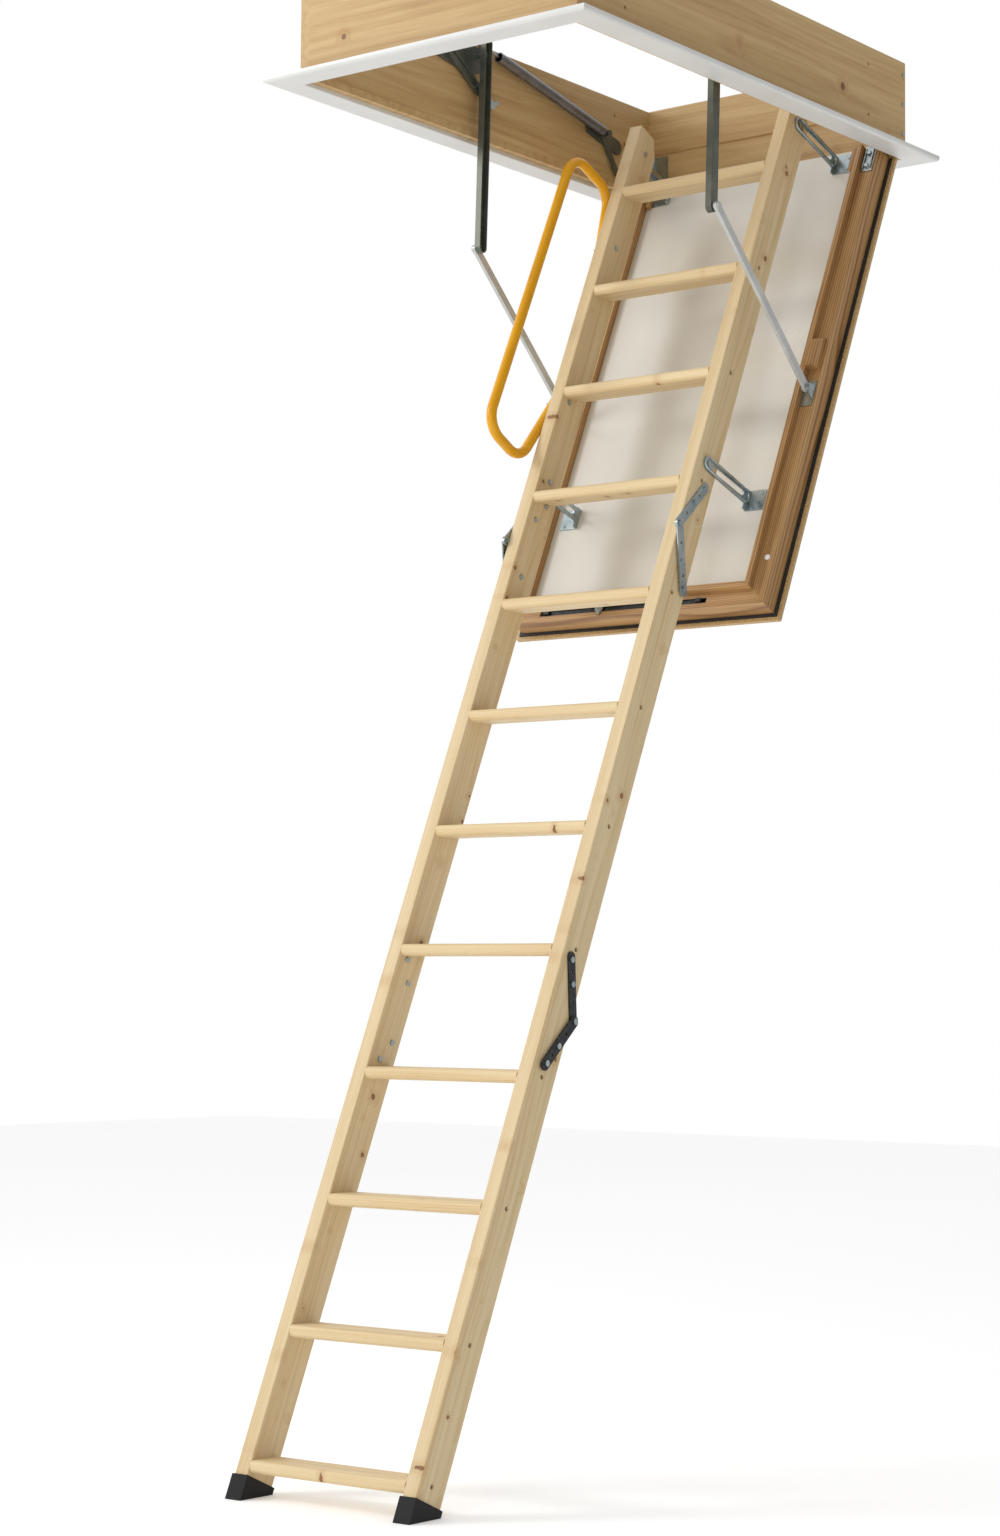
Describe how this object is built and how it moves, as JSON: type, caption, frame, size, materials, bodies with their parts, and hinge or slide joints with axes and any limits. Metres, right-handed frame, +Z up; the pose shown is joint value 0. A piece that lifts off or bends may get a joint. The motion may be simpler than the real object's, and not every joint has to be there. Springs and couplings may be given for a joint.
{
  "type": "attic ladder",
  "caption": "Timber folding attic ladder in a ceiling frame with an insulated drop-down hatch, support arms and a side handrail.",
  "frame": {"origin": "centre of the ceiling opening, at the underside of the ceiling", "axes": "+Z up; +Y from the ladder's foot end to the hatch's hinge end, the way a climber faces; +X to the climber's right"},
  "size_m": [0.8, 1.5659, 2.975],
  "materials": {
    "frame_pine": "planed pine boards, clear",
    "hatch_timber": "moulded pine rails, clear",
    "ladder_spruce": "planed spruce, unvarnished",
    "white_trim": "white moulded trim",
    "white_board": "white laminated board",
    "white_foam": "expanded foam",
    "black_rubber": "matt black rubber",
    "zinc_steel": "bright zinc-plated pressed steel",
    "dark_steel": "dark coated steel",
    "pale_steel": "pale grey coated steel",
    "yellow_steel": "yellow powder-coated tube"
  },
  "bodies": {
    "frame": {"frame_board_left": "frame_pine", "frame_board_right": "frame_pine", "frame_board_front": "frame_pine", "frame_board_rear": "frame_pine", "frame_lippings": "frame_pine", "trim_left": "white_trim", "trim_right": "white_trim", "trim_front": "white_trim", "trim_rear": "white_trim", "frame_screws": "zinc_steel", "arm_brackets": "zinc_steel", "spring_brackets": "zinc_steel", "hatch_hinge_plates": "zinc_steel", "hatch_hinge_pins": "zinc_steel", "latch_keeper": "zinc_steel"},
    "hatch": {"hatch_outer_panel": "white_board", "hatch_insulation": "white_foam", "hatch_inner_panel": "white_board", "hatch_rail_left": "hatch_timber", "hatch_rail_right": "hatch_timber", "hatch_rail_front": "hatch_timber", "hatch_rail_rear": "hatch_timber", "hatch_seal": "black_rubber", "hatch_hinge_leaves": "zinc_steel", "arm_lugs": "zinc_steel", "latch_case": "dark_steel", "hatch_screws": "zinc_steel", "ladder_brackets": "zinc_steel", "section1_stringer_left": "ladder_spruce", "section1_stringer_right": "ladder_spruce", "section1_treads": "ladder_spruce", "section1_screws": "zinc_steel", "handrail": "yellow_steel", "upper_hinge_straps_top": "zinc_steel"},
    "latch": {"latch_cam": "zinc_steel"},
    "bolt_left": {"latch_bolt_left": "dark_steel"},
    "bolt_right": {"latch_bolt_right": "dark_steel"},
    "section2": {"section2_stringer_left": "ladder_spruce", "section2_stringer_right": "ladder_spruce", "section2_treads": "ladder_spruce", "section2_screws": "zinc_steel", "upper_hinge_straps_bottom": "zinc_steel", "lower_hinge_straps_top": "dark_steel", "fold_hinge_pins": "zinc_steel"},
    "section3": {"section3_stringer_left": "ladder_spruce", "section3_stringer_right": "ladder_spruce", "section3_treads": "ladder_spruce", "section3_screws": "zinc_steel", "lower_hinge_straps_bottom": "dark_steel", "feet": "black_rubber"},
    "upper_arms": {"upper_arm_left": "dark_steel", "upper_arm_right": "dark_steel", "arm_pivot_pins": "zinc_steel", "elbow_pins": "zinc_steel"},
    "lower_arms": {"lower_arm_left": "pale_steel", "lower_arm_right": "pale_steel"},
    "spring_tubes": {"spring_tubes": "dark_steel"},
    "spring_rods": {"spring_rods": "zinc_steel"},
    "stay_hook_left": {"stay_hook_left": "zinc_steel"},
    "stay_hook_right": {"stay_hook_right": "zinc_steel"}
  },
  "joints": [
    {"name": "hatch_swing", "type": "hinge", "parent": "frame", "child": "hatch", "pos_m": [0, 0.575, 0.005], "axis": [-1, 0, 0], "range_deg": [0, 52]},
    {"name": "fold_swing", "type": "hinge", "parent": "hatch", "child": "section2", "pos_m": [0, -0.07961, -0.88448], "axis": [1, 0, 0], "range_deg": [-118, 0]},
    {"name": "lower_fold", "type": "hinge", "parent": "section2", "child": "section3", "pos_m": [0, -0.4285, -1.88366], "axis": [1, 0, 0], "range_deg": [-0.05, 180.05]},
    {"name": "arm_swing", "type": "hinge", "parent": "frame", "child": "upper_arms", "pos_m": [0, -0.063, 0.175], "axis": [1, 0, 0], "range_deg": [-79.64, 0.05]},
    {"name": "lower_arm_swing", "type": "hinge", "parent": "hatch", "child": "lower_arms", "pos_m": [0, 0.2578, -0.56551], "axis": [1, 0, 0], "range_deg": [-0.05, 68.48]},
    {"name": "spring_swing", "type": "hinge", "parent": "frame", "child": "spring_tubes", "pos_m": [0, 0.397, 0.109], "axis": [1, 0, 0], "range_deg": [-0.05, 1.89]},
    {"name": "spring_stroke", "type": "slide", "parent": "spring_tubes", "child": "spring_rods", "axis": [0, -0.9818, 0.19], "range_m": [-0.02606, 0.0005]},
    {"name": "hook_turn_left", "type": "hinge", "parent": "frame", "child": "stay_hook_left", "pos_m": [0, -0.058, 0.1], "axis": [1, 0, 0], "range_deg": [0, 35]},
    {"name": "hook_turn_right", "type": "hinge", "parent": "frame", "child": "stay_hook_right", "pos_m": [0, -0.058, 0.1], "axis": [1, 0, 0], "range_deg": [0, 35]},
    {"name": "bolt_slide", "type": "slide", "parent": "hatch", "child": "bolt_left", "axis": [-1, 0, 0], "range_m": [0, 0.01]},
    {"name": "bolt_right_slide", "type": "slide", "parent": "hatch", "child": "bolt_right", "axis": [1, 0, 0], "range_m": [-0.0001, 0.0101]},
    {"name": "latch_turn", "type": "hinge", "parent": "hatch", "child": "latch", "pos_m": [-0.092, 0.07917, -1.02008], "axis": [0, -0.915, 0.4035], "range_deg": [-0.5, 90.5]}
  ],
  "couplings": [
    {"joint": "lower_fold", "follows": "fold_swing", "ratio": -1.5254},
    {"joint": "arm_swing", "follows": "hatch_swing", "ratio": -1.5305},
    {"joint": "lower_arm_swing", "follows": "hatch_swing", "ratio": 1.3159},
    {"joint": "spring_swing", "follows": "hatch_swing", "ratio": 0.035334},
    {"joint": "spring_stroke", "follows": "hatch_swing", "m_per_rad": -0.028164},
    {"joint": "bolt_right_slide", "follows": "bolt_slide", "ratio": 1},
    {"joint": "latch_turn", "follows": "bolt_slide", "rad_per_m": 157.08}
  ]
}
